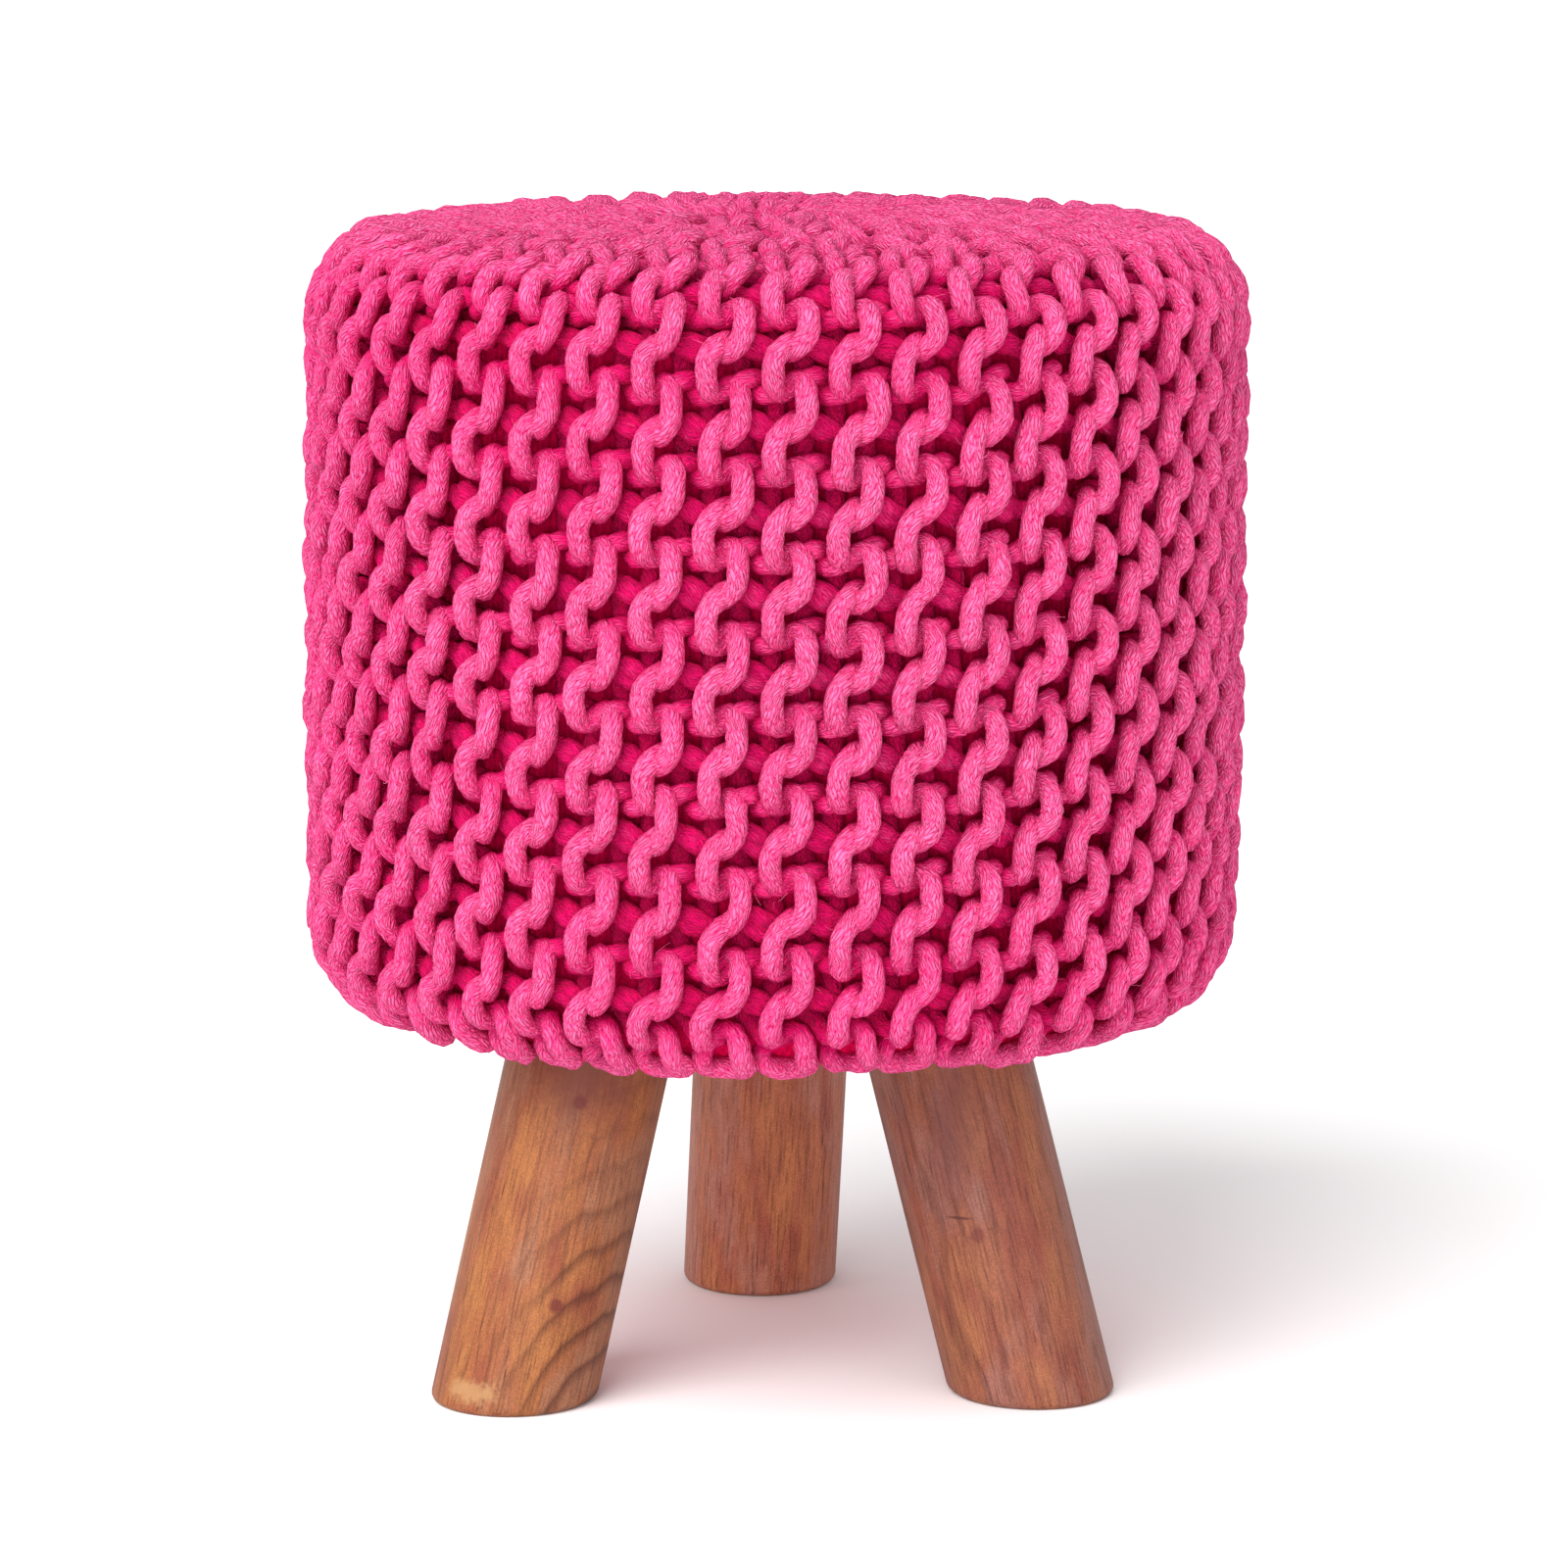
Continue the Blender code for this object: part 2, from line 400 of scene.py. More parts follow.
def place_strand(ridge, strand, ridge_map, drifts):
    """Puts a strand on the drum. Gives its points and how wide the ridge is at each."""
    along = FIRST_ALONG + strand[:, 1] * MM
    width = ridge_map.width(ridge, along)
    on_top = smooth((along - 2 * EDGE_LENGTH - SIDE_LENGTH + PRESSED_FROM) / PRESSED_OVER)
    out = (strand[:, 2] - LOOP_HEIGHT) * MM * (1 - TOP_FLATNESS * on_top)
    to_end = LINE_LENGTH - ridge_end(ridge) - along
    out = out - (1 - smooth(to_end / SINK_LENGTH)) * SINK_DEPTH
    turn = ridge_map.turn(ridge + strand[:, 0] / RIDGE_PITCH, along)
    turn = turn + drifts["turn"](turn, along) / CROWN_LINE_RADIUS
    along = along + drifts["along"](turn, along)
    out = out + drifts["out"](turn, along)
    return on_drum(turn, along, out), width


def resample(points, values, step):
    """Even steps along the strand, for its points and for values that go with them."""
    run = run_along(points)
    even = np.linspace(0, run[-1], int(run[-1] / step) + 1)
    return between(even, run, points), [np.interp(even, run, v) for v in values], even


def yarn_radii(ridge, widths, tight, run, thickness):
    """The strand's radius along its length, from the ridge's width and how tight it lies."""
    wide = NARROW_YARN + (1 - NARROW_YARN) * smooth(widths / FULL_WIDTH)
    swell = np.sin(run * SWELLS[0] + ridge) * np.sin(run * SWELLS[1] + 2 * ridge)
    return thickness / 2 * wide * tight * (1 + SWELLING * swell)


def round_points(across, third, sides):
    """Points of a circle round each point of a line, from two directions square to it."""
    angle = tau * np.arange(sides)[:, None] / sides
    return across[..., None, :] * np.cos(angle) + third[..., None, :] * np.sin(angle)


def tube(points, radii, run, rng):
    """Vertices, quads and yarn coordinates of a strand's tube, its ends still open."""
    along = unit(np.gradient(points, axis=0))
    across = np.empty_like(along)
    across[0] = unit(np.cross(along[0], (0.3, 0.1, 1.0)))  # any way square to the strand
    for i in range(1, len(points)):
        v = across[i - 1] - along[i] * (across[i - 1] @ along[i])
        across[i] = v / np.sqrt(v @ v)
    ring = round_points(across, np.cross(along, across), YARN_SIDES)
    lumps = np.clip(rng.normal(0.0, 1.0, (len(points), YARN_SIDES, 1)), -LUMP_LIMIT, LUMP_LIMIT)
    verts = points[:, None] + ring * radii[:, None, None] * (1 + YARN_LUMPS * lumps)
    i, k = np.meshgrid(np.arange(len(points) - 1), np.arange(YARN_SIDES), indexing="ij")
    k2 = (k + 1) % YARN_SIDES
    low, high = i * YARN_SIDES, (i + 1) * YARN_SIDES
    quads = np.stack([low + k, low + k2, high + k2, high + k], axis=-1).reshape(-1, 4)
    u0, u1, v0, v1 = run[i], run[i + 1], k / YARN_SIDES, (k + 1) / YARN_SIDES
    corners = ((u0, v0), (u0, v1), (u1, v1), (u1, v0))
    uv = np.stack([np.stack(corner, axis=-1) for corner in corners], axis=-2)
    return verts.reshape(-1, 3), quads, uv.reshape(-1, 2)


def stray_fibres(points, radii, rng):
    """Short curved hairs that stand off a strand, from inside its surface."""
    picks = rng.integers(2, len(points) - 2, int(len(points) * FIBRES_A_RING))
    along = unit(points[picks + 1] - points[picks])
    # Away from the drum: level on its side, upright on its top
    away = points[picks] - (0.0, 0.0, (SHOULDER_HEIGHT + HEEL_HEIGHT) / 2)
    away[:, 2] *= np.abs(away[:, 2]) > SIDE_LENGTH / 2 + UPRIGHT_FROM
    away[:, :2] *= (away[:, 2:] <= 0.0) | (np.hypot(away[:, 0], away[:, 1]) > FLAT_RADIUS)[:, None]
    away = unit(away)
    aside = np.cross(along, away)
    lean = rng.uniform(-1.0, 1.0, (len(picks), 3))
    off = unit(away + aside * lean[:, :1] * FIBRE_SWAY)
    start = points[picks] + off * radii[picks, None] * FIBRE_ROOT
    first = off * FIBRE_OFF + along * lean[:, 1:2] + aside * lean[:, 2:] * FIBRE_SLANT
    bend = along * lean[::-1, 1:2] * FIBRE_CURL - off * FIBRE_DROOP
    length = rng.uniform(*FIBRE_LENGTHS, (len(picks), 1, 1))
    share = np.linspace(0.0, 1.0, FIBRE_POINTS)[None, :, None]
    return start[:, None] + (first[:, None] * share + bend[:, None] * share**2) * length


def add_piece(name, mesh, material):
    """Puts a finished mesh in the scene."""
    mesh.shade_smooth()
    mesh.materials.append(material)
    obj = bpy.data.objects.new(name, mesh)
    bpy.context.scene.collection.objects.link(obj)
    return obj


def fibre_object(name, curves, material):
    """One object from many hairs, each a thin tube with closed ends."""
    along = np.gradient(curves, axis=1)
    across = unit(np.cross(along, (0.31, 0.17, 0.94)))  # any way square to each hair
    ring = round_points(across, unit(np.cross(along, across)), FIBRE_SIDES)
    thin = FIBRE_RADIUS * np.linspace(1.0, FIBRE_TIP, FIBRE_POINTS)[:, None, None]
    verts = (curves[:, :, None] + ring * thin).reshape(-1, 3)
    last = (FIBRE_POINTS - 1) * FIBRE_SIDES
    faces = [tuple(reversed(range(FIBRE_SIDES))), tuple(range(last, last + FIBRE_SIDES))]
    for low in range(0, last, FIBRE_SIDES):
        high = low + FIBRE_SIDES
        for k in range(FIBRE_SIDES):
            k2 = (k + 1) % FIBRE_SIDES
            faces.append((low + k, low + k2, high + k2, high + k))
    starts = range(0, len(verts), FIBRE_POINTS * FIBRE_SIDES)
    hairs = [tuple(start + v for v in face) for start in starts for face in faces]
    mesh = bpy.data.meshes.new(name)
    mesh.from_pydata(verts.tolist(), [], hairs)
    return add_piece(name, mesh, material)


def yarn_object(name, strands, material):
    """One object from the tubes of several strands, with their ends closed."""
    verts, quads, uvs, ends, offset = [], [], [], [], 0
    for strand_verts, strand_quads, strand_uv in strands:
        verts.append(strand_verts)
        quads.append(strand_quads + offset)
        uvs.append(strand_uv)
        ends.append(np.arange(offset, offset + YARN_SIDES)[::-1])
        offset += len(strand_verts)
        ends.append(np.arange(offset - YARN_SIDES, offset))
    verts = np.concatenate(verts)
    quads = np.concatenate(quads)
    mesh = bpy.data.meshes.new(name)
    mesh.vertices.add(len(verts))
    mesh.vertices.foreach_set("co", verts.astype(np.float32).ravel())
    loops = np.concatenate([quads.ravel(), *ends])
    totals = np.concatenate([np.full(len(quads), 4), np.full(len(ends), YARN_SIDES)])
    starts = np.concatenate([[0], np.cumsum(totals)[:-1]])
    mesh.loops.add(len(loops))
    mesh.loops.foreach_set("vertex_index", loops.astype(np.int32))
    mesh.polygons.add(len(totals))
    mesh.polygons.foreach_set("loop_start", starts.astype(np.int32))
    mesh.update(calc_edges=True)
    # How far out each point stands, from which the yarn's colour paints shade deep in the knit and
    # highlight on the crests
    lift = (drum_depth(verts) - DEEPEST) / (HIGHEST - DEEPEST)
    mesh.attributes.new("lift", "FLOAT", "POINT").data.foreach_set("value", lift.astype(np.float32))
    layer = mesh.uv_layers.new(name="yarn")
    uv = np.concatenate([*uvs, np.zeros((len(ends) * YARN_SIDES, 2))])
    layer.data.foreach_set("uv", uv.astype(np.float32).ravel())
    mesh.validate()
    return add_piece(name, mesh, material)


# ----------------------------------------
# Legs, in metres and degrees, 0 along +X

LEG_TOP = UNDERSIDE_HEIGHT - 0.3 * MM
LEG_RADIUS = 28.1 * MM
LEG_SIDES = 96
FOOT_ROUND = 3.0 * MM
FOOT_ROUND_STEPS = 4

# Where each leg stands and leans, and its wood. tint multiplies the wood's colour. figure is where
# in the noise its grain is taken from. Its growth lines lie on shells round ring_centre, which
# ring_stretch draws out along the leg's own axes. They are strongest at the right, or at the left
# where lines_right is negative, and below the height lines_below.
LEGS = (
    {
        "name": "leg_front_left",
        "foot_radius": 0.1050, "foot_at": 212.0, "lean_to": 212.0, "lean": 14.8,
        "tint": (0.92, 0.90, 0.80), "figure": 0.046,
        "ring_centre": (0.037, 0.0, -0.014), "ring_stretch": (2.2, 0.0, 1.0), "rings_a_metre": 74.0,
        "line_depth": 0.80, "lines_right": 1.0, "lines_below": 0.045,
    },
    {
        "name": "leg_front_right",
        "foot_radius": 0.1015, "foot_at": 332.5, "lean_to": 332.5, "lean": 15.8,
        "tint": (0.81, 0.77, 0.98), "figure": 0.071,
        "ring_centre": (-0.021, 0.0, 0.02), "ring_stretch": (1.0, 0.2, 0.006), "rings_a_metre": 150.0,
        "line_depth": 0.42, "lines_right": -0.6, "lines_below": 0.200,
    },
    {
        "name": "leg_back",
        "foot_radius": 0.1040, "foot_at": 92.7, "lean_to": 100.0, "lean": 15.0,
        # The back leg's tint is lighter than the others' in part as painted light, which makes up for
        # the shade that the drum casts on it
        "tint": (1.34, 1.26, 1.52), "figure": 0.118,
        "ring_centre": (0.006, 0.0, 0.030), "ring_stretch": (1.0, 0.1, 0.03), "rings_a_metre": 170.0,
        "line_depth": 0.34, "lines_right": 0.0, "lines_below": 0.200,
    },
)

# Pin knots, a scratch, darker patches of wood, one of them also painted shadow under the seat, and a
# pale scuff on the fronts of the legs: height above the floor, distance to the right of the leg's
# middle as seen from the front, half width and half height, how strongly it shows, how far out it
# stays firm and how ragged its edge is
KNOT = {"look": "knot", "wide": 0.003, "high": 0.003, "strength": 0.85, "firm": 0.55, "ragged": 0.4}
MARKS = {
    "leg_front_left": (
        # The left leg's dark top: a dark zone of the wood, and painted shadow under the seat
        {"look": "dark_wood_and_shadow", "height": 0.120, "across": -0.002, "wide": 0.034, "high": 0.027,
         "strength": 0.85, "firm": 0.30, "ragged": 0.8},
        {**KNOT, "height": 0.107, "across": 0.0},
        {**KNOT, "height": 0.038, "across": 0.0072},
        {"look": "pale", "height": 0.008, "across": -0.0150, "wide": 0.0120, "high": 0.0048,
         "strength": 0.70, "firm": 0.45, "ragged": 1.6},
    ),
    "leg_front_right": (
        # A dark streak of the wood down the right leg's middle
        {"look": "dark_wood_and_shadow", "height": 0.098, "across": -0.004, "wide": 0.012, "high": 0.045,
         "strength": 0.60, "firm": 0.20, "ragged": 1.0},
        {**KNOT, "height": 0.060, "across": -0.0047, "wide": 0.0032, "high": 0.0034,
         "strength": 0.60},
        {"look": "scratch", "height": 0.0655, "across": -0.0095, "wide": 0.0060, "high": 0.0007,
         "strength": 0.85, "firm": 0.40, "ragged": 0.3},
    ),
    "leg_back": (),
}


def leg_axis(leg):
    """The middle of the leg's foot and the direction in which its axis rises."""
    at = radians(leg["foot_at"])
    foot = Vector((leg["foot_radius"] * cos(at), leg["foot_radius"] * sin(at), 0.0))
    to, lean = radians(leg["lean_to"]), radians(leg["lean"])
    rise = Vector((-sin(lean) * cos(to), -sin(lean) * sin(to), cos(lean)))
    return foot, rise


def mark_place(leg, mark):
    """Where a mark lies on the front of its leg."""
    foot, rise = leg_axis(leg)
    middle = foot + rise * (mark["height"] / rise.z)
    depth = (LEG_RADIUS**2 - mark["across"] ** 2) ** 0.5
    return middle + Vector((mark["across"], -depth, 0.0))


# ----------------------------------------
# Helpers for modelling by hand

FLUSH = 0.1 * MM  # a point this near to a plane counts as lying in it
SHARP_ANGLE = radians(40.0)


def deselect_all():
    for obj in bpy.context.view_layer.objects:
        obj.select_set(False)


def make_active(obj):
    deselect_all()
    obj.select_set(True)
    bpy.context.view_layer.objects.active = obj


def add_cylinder(name, **sizes):
    """A cylinder with its place in its mesh, left in edit mode."""
    deselect_all()
    bpy.ops.mesh.primitive_cylinder_add(end_fill_type="NGON", **sizes)
    obj = bpy.context.object
    obj.name = name
    make_active(obj)
    bpy.ops.object.transform_apply(location=True, rotation=True, scale=True)
    bpy.ops.object.mode_set(mode="EDIT")
    bpy.ops.mesh.select_mode(type="EDGE")
    return obj


def finish_surface(obj, material):
    make_active(obj)
    bpy.ops.object.shade_smooth_by_angle(angle=SHARP_ANGLE)
    obj.data.materials.append(material)


def select_in_mesh(obj, kind, test):
    """Selects vertices, edges or faces of the mesh in edit mode for which the test holds."""
    data = bmesh.from_edit_mesh(obj.data)
    for group in (data.verts, data.edges, data.faces):
        for item in group:
            item.select_set(False)
    data.select_flush_mode()
    for item in getattr(data, kind):
        if test(item):
            item.select_set(True)
    bmesh.update_edit_mesh(obj.data)


def select_rim(obj, height):
    """Selects the edges that lie in the level plane at this height."""
    select_in_mesh(obj, "edges", lambda e: all(abs(v.co.z - height) < FLUSH for v in e.verts))


# ----------------------------------------
# Materials


def tinted(colour, red, green, blue):
    """The colour with its three parts multiplied, up to full strength."""
    return (*(min(1.0, part * by) for part, by in zip(colour, (red, green, blue))), 1.0)


class NodeMaker:
    """Makes a material's nodes with short calls."""

    def __init__(self, name):
        self.material = bpy.data.materials.new(name)
        self.material.use_nodes = True
        self.tree = self.material.node_tree
        self.shader = self.tree.nodes["Principled BSDF"]

    def put(self, socket, value):
        if isinstance(value, bpy.types.NodeSocket):
            self.tree.links.new(value, socket)
        else:
            socket.default_value = value

    def node(self, kind, inputs=(), **settings):
        node = self.tree.nodes.new(kind)
        for name, value in settings.items():
            setattr(node, name, value)
        for name, value in dict(inputs).items():
            self.put(node.inputs[name], value)
        return node

    def math(self, operation, *values):
        return self.node("ShaderNodeMath", enumerate(values), operation=operation).outputs[0]

    def plus(self, first, second):
        return self.math("ADD", first, second)

    def minus(self, first, second):
        return self.math("SUBTRACT", first, second)

    def times(self, first, second):
        return self.math("MULTIPLY", first, second)

    def vector(self, x, y, z):
        return self.node("ShaderNodeCombineXYZ", {"X": x, "Y": y, "Z": z}).outputs[0]

    def vector_math(self, operation, *values):
        return self.node("ShaderNodeVectorMath", enumerate(values), operation=operation).outputs

    def ramp(self, value, *stops):
        """A blend through the stops, each with its place and its colour or grey."""
        node = self.node("ShaderNodeValToRGB", {0: value})
        elements = node.color_ramp.elements
        while len(elements) < len(stops):
            elements.new(0.5)
        for element, (position, colour) in zip(elements, stops):
            element.position = position
            element.color = colour if hasattr(colour, "__len__") else (colour, colour, colour, 1.0)
        return node.outputs[0]

    def mix(self, factor, first, second, blend="MIX"):
        inputs = {0: factor, 6: first, 7: second}
        return self.node("ShaderNodeMix", inputs, data_type="RGBA", blend_type=blend).outputs[2]

    def noise(self, vector, scale, detail, roughness):
        inputs = {"Vector": vector, "Scale": scale, "Detail": detail, "Roughness": roughness}
        return self.node("ShaderNodeTexNoise", inputs).outputs["Fac"]

    def bump(self, height, strength, distance):
        inputs = {"Height": height, "Strength": strength, "Distance": distance}
        return self.node("ShaderNodeBump", inputs).outputs[0]

    def set(self, **values):
        for name, value in values.items():
            self.put(self.shader.inputs[name.replace("_", " ")], value)


def yarn_material(settings):
    """Loosely twisted cotton: fine threads that wind round the strand, with fuzz. Its colour paints
    shade in the gaps and deep between the ridges, and highlight on the ridges' crests.
    """
    made = NodeMaker("twisted_cotton")
    uv = made.node("ShaderNodeUVMap", uv_map="yarn").outputs[0]
    split = made.node("ShaderNodeSeparateXYZ", {"Vector": uv})
    run, round_it = split.outputs[0], split.outputs[1]
    place = made.node("ShaderNodeTexCoord").outputs["Object"]
    lift = made.node("ShaderNodeAttribute", attribute_name="lift").outputs["Fac"]

    def wound(turns_a_metre, around, along):
        """Coordinates drawn out along threads which wind round the strand."""
        angle = made.times(made.minus(round_it, made.times(run, turns_a_metre)), tau)
        return made.vector(
            made.times(made.math("COSINE", angle), around),
            made.times(made.math("SINE", angle), around),
            made.times(run, along),
        )

    # One length of the strand shows its threads wound to the right, the next to the left
    patches = made.noise(place, scale=120.0, detail=1.0, roughness=0.5)
    to_left = made.math("GREATER_THAN", patches, 0.5)
    turns = made.math("MULTIPLY_ADD", to_left, -36.0, 19.0)
    threads = wound(turns, around=3.5, along=290.0)
    stray = made.node("ShaderNodeTexNoise", {"Vector": threads, "Scale": 1.1}).outputs[1]
    threads = made.mix(0.22, threads, stray, "ADD")
    cells = made.node(
        "ShaderNodeTexVoronoi", {"Vector": threads, "Scale": 1.0}, feature="DISTANCE_TO_EDGE"
    )
    plait = cells.outputs["Distance"]
    around = wound(17.0, around=8.0, along=420.0)
    fine = made.noise(around, scale=1.0, detail=2.0, roughness=0.6)
    fuzz = made.noise(place, scale=1700.0, detail=2.0, roughness=0.65)
    slow = made.noise(place, scale=28.0, detail=2.0, roughness=0.5)

    body = settings.colour[:]
    # A pale colour for fibres and painted highlight, a paler pink of painted highlight for the
    # crests, and darker reds of painted shade
    light = tinted(body, 1.16, 4.9, 2.10)
    crest_highlight = tinted(body, 1.09, 3.3, 1.60)
    deep_shade = tinted(body, 0.86, 0.10, 0.58)
    inmost_shade = tinted(body, 0.82, 0.01, 0.36)
    slit_shade = tinted(body, 0.50, 0.02, 0.34)
    # Painted shade deep between the ridges, in a glowing red as of light bounced between them, and
    # painted highlight that grows paler towards their crests
    colour = made.ramp(lift, (0.26, inmost_shade), (0.44, deep_shade), (0.57, body), (0.95, crest_highlight))
    # Pale threads and fuzz, partly painted highlight: strongest towards the crests, and fainter where
    # the yarn lies deep as painted shade
    pale = made.times(
        made.ramp(fine, (0.44, 0.0), (0.64, 1.0)), made.ramp(fuzz, (0.35, 0.3), (0.65, 1.0))
    )
    pale = made.plus(pale, made.ramp(plait, (0.20, 0.0), (0.45, 0.30)))
    pale = made.times(pale, made.ramp(lift, (0.43, 0.06), (0.57, 0.52), (0.95, 0.85)))
    colour = made.mix(pale, colour, light)
    # Painted shade in the grooves between the threads, with darker slits of painted shade here and
    # there
    colour = made.mix(made.ramp(plait, (0.0, 0.70), (0.22, 0.0)), colour, deep_shade)
    shaded_slits = made.times(
        made.ramp(plait, (0.02, 0.90), (0.15, 0.0)), made.ramp(fine, (0.40, 1.0), (0.50, 0.0))
    )
    colour = made.mix(shaded_slits, colour, slit_shade)
    colour = made.mix(1.0, colour, made.ramp(slow, (0.3, 0.93), (0.7, 1.05)), "MULTIPLY")

    height = made.ramp(plait, (0.0, 0.15), (0.18, 0.6), (0.40, 1.0))
    height = made.plus(made.plus(height, made.times(fine, 0.9)), made.times(fuzz, 0.55))
    bump = made.bump(height, strength=0.95, distance=0.0012)
    made.set(Base_Color=colour, Roughness=0.95, Normal=bump, Specular_IOR_Level=0.0)
    made.set(Sheen_Weight=0.04, Sheen_Roughness=0.5, Sheen_Tint=(1.0, 0.35, 0.60, 1.0))
    return made.material


def fibre_material(settings):
    """Single cotton hairs, paler than the yarn because light shines through them."""
    made = NodeMaker("cotton_hairs")
    made.set(Base_Color=tinted(settings.colour, 1.15, 5.0, 1.9), Roughness=0.9)
    made.set(Specular_IOR_Level=0.04)
    return made.material


def ground_material(settings):
    """The cloth behind the loops and under the pouf: a deeper pink in a plain close weave, which is
    painted shade for the holes between the loops and for the underside.
    """
    made = NodeMaker("pink_backing")
    place = made.node("ShaderNodeTexCoord").outputs["Object"]
    x, y, _ = made.node("ShaderNodeSeparateXYZ", {"Vector": place}).outputs
    warp, weft = (made.math("SINE", made.times(axis, 1900.0)) for axis in (x, y))
    weave = made.noise(place, scale=700.0, detail=2.0, roughness=0.6)
    weave = made.plus(weave, made.times(made.times(warp, weft), 0.22))
    # Both weave colours are darker than the yarn, as painted shade
    deep_shade = tinted(settings.colour, 0.55, 0.01, 0.20)
    raised = tinted(settings.colour, 0.80, 0.02, 0.31)
    colour = made.mix(made.ramp(weave, (0.3, 0.0), (0.7, 1.0)), deep_shade, raised)
    bump = made.bump(weave, strength=0.8, distance=0.0010)
    made.set(Base_Color=colour, Roughness=0.95, Normal=bump, Specular_IOR_Level=0.04)
    return made.material


def wood_material(leg, settings):
    """Oiled hardwood: soft bands of orange, red and greyish brown along the leg, darker growth
    lines, short dark pores, and the marks that this leg has."""
    made = NodeMaker("oiled_wood_" + leg["name"])
    place = made.node("ShaderNodeTexCoord").outputs["Object"]
    foot, rise = leg_axis(leg)
    turn = Vector((0, 0, 1)).rotation_difference(rise)
    centred = made.vector_math("SUBTRACT", place, foot)[0]
    local = made.node(
        "ShaderNodeMapping", {"Vector": centred, "Rotation": turn.inverted().to_euler()}
    ).outputs[0]
    x, y, z = made.node("ShaderNodeSeparateXYZ", {"Vector": local}).outputs

    def drawn_out(share, scale, detail, roughness):
        """Noise that is drawn out along the leg."""
        where = made.vector(made.plus(x, leg["figure"]), y, made.times(z, share))
        return made.noise(where, scale, detail, roughness)

    # Growth lines on shells that wander a little, each with a soft and a sharp side
    squares = [
        made.times(made.math("POWER", made.minus(axis, centre), 2.0), stretch)
        for axis, centre, stretch in zip((x, y, z), leg["ring_centre"], leg["ring_stretch"])
    ]
    distance = made.math("SQRT", made.plus(made.plus(squares[0], squares[1]), squares[2]))
    wander = drawn_out(0.35, scale=30.0, detail=3.0, roughness=0.6)
    distance = made.plus(distance, made.times(made.minus(wander, 0.5), 0.022))
    rings = made.math("FRACT", made.times(distance, leg["rings_a_metre"]))
    lines = made.ramp(rings, (0.0, 0.5), (0.10, 0.0), (0.62, 0.06), (0.93, 1.0), (1.0, 0.5))
    side = made.plus(made.times(x, 22.0 * leg["lines_right"]), 0.5)
    lines = made.times(lines, made.ramp(side, (0.28, 0.10), (0.72, 1.0)))
    above = made.times(made.minus(z, leg["lines_below"]), 10.0)
    lines = made.times(lines, made.ramp(above, (0.0, 1.0), (0.45, 0.30)))

    bands = drawn_out(0.30, scale=52.0, detail=3.0, roughness=0.6)
    reds = drawn_out(0.26, scale=80.0, detail=2.0, roughness=0.6)
    fibres = drawn_out(0.06, scale=900.0, detail=3.0, roughness=0.7)
    pores = drawn_out(0.05, scale=1500.0, detail=1.0, roughness=0.5)
    pore_share = drawn_out(0.3, scale=70.0, detail=1.0, roughness=0.5)
    mottle = made.noise(place, scale=1500.0, detail=2.0, roughness=0.6)

    base = tinted(settings.wood_colour, *leg["tint"])
    dark = tinted(base, 0.26, 0.18, 0.22)
    red = tinted(base, 0.80, 0.58, 0.72)
    orange = tinted(base, 1.16, 1.28, 1.05)
    grey = tinted(base, 1.0, 1.24, 1.65)
    looks = {
        "pale": tinted(base, 1.35, 2.3, 2.6),
        "knot": tinted(base, 0.42, 0.20, 0.40),
        # Dark wood, which at the left leg's top also paints the shadow under the seat
        "dark_wood_and_shadow": tinted(base, 0.50, 0.38, 0.60),
        "scratch": dark,
    }
    colour = made.ramp(bands, (0.42, grey), (0.51, base), (0.62, orange))
    colour = made.mix(made.ramp(reds, (0.50, 0.0), (0.64, 0.75)), colour, red)
    colour = made.mix(made.times(lines, leg["line_depth"]), colour, dark)
    colour = made.mix(made.ramp(fibres, (0.32, 0.60), (0.52, 0.0)), colour, dark)
    specks = made.times(
        made.ramp(pores, (0.28, 0.9), (0.35, 0.0)), made.ramp(pore_share, (0.35, 0.25), (0.65, 1.0))
    )
    colour = made.mix(specks, colour, dark)
    colour = made.mix(0.8, colour, made.ramp(mottle, (0.35, 0.72), (0.65, 1.18)), "MULTIPLY")

    ragged = made.minus(made.noise(place, scale=420.0, detail=3.0, roughness=0.7), 0.5)
    for mark in MARKS[leg["name"]]:
        away = made.vector_math("SUBTRACT", place, mark_place(leg, mark))[0]
        size = (1 / mark["wide"], 1 / mark["wide"], 1 / mark["high"])
        far = made.vector_math("LENGTH", made.vector_math("MULTIPLY", away, size)[0])["Value"]
        far = made.plus(far, made.times(ragged, mark["ragged"]))
        spot = made.ramp(far, (mark["firm"], mark["strength"]), (1.0, 0.0))
        colour = made.mix(spot, colour, looks[mark["look"]])

    height = made.plus(made.times(fibres, 0.5), made.times(pores, 0.6))
    bump = made.bump(height, strength=0.4, distance=0.0004)
    made.set(Base_Color=colour, Roughness=0.55, Specular_IOR_Level=0.25, Normal=bump)
    return made.material


# ----------------------------------------
# Settings, operators and panel

COLOUR = {"subtype": "COLOR", "size": 4, "min": 0.0, "max": 1.0}


class PoufKnitSettings(bpy.types.PropertyGroup):
    """Sizes and colour of the knit."""

    colour: bpy.props.FloatVectorProperty(
        name="Yarn colour",
        description="Colour of the cotton yarn",
        **COLOUR,
        default=(0.86, 0.044, 0.222, 1.0),
    )
    thickness: bpy.props.FloatProperty(
        name="Yarn thickness",
        description="Diameter of the yarn as it lies in the cloth",
        unit="LENGTH",
        default=0.0075,
        min=0.004,
        max=0.009,
    )


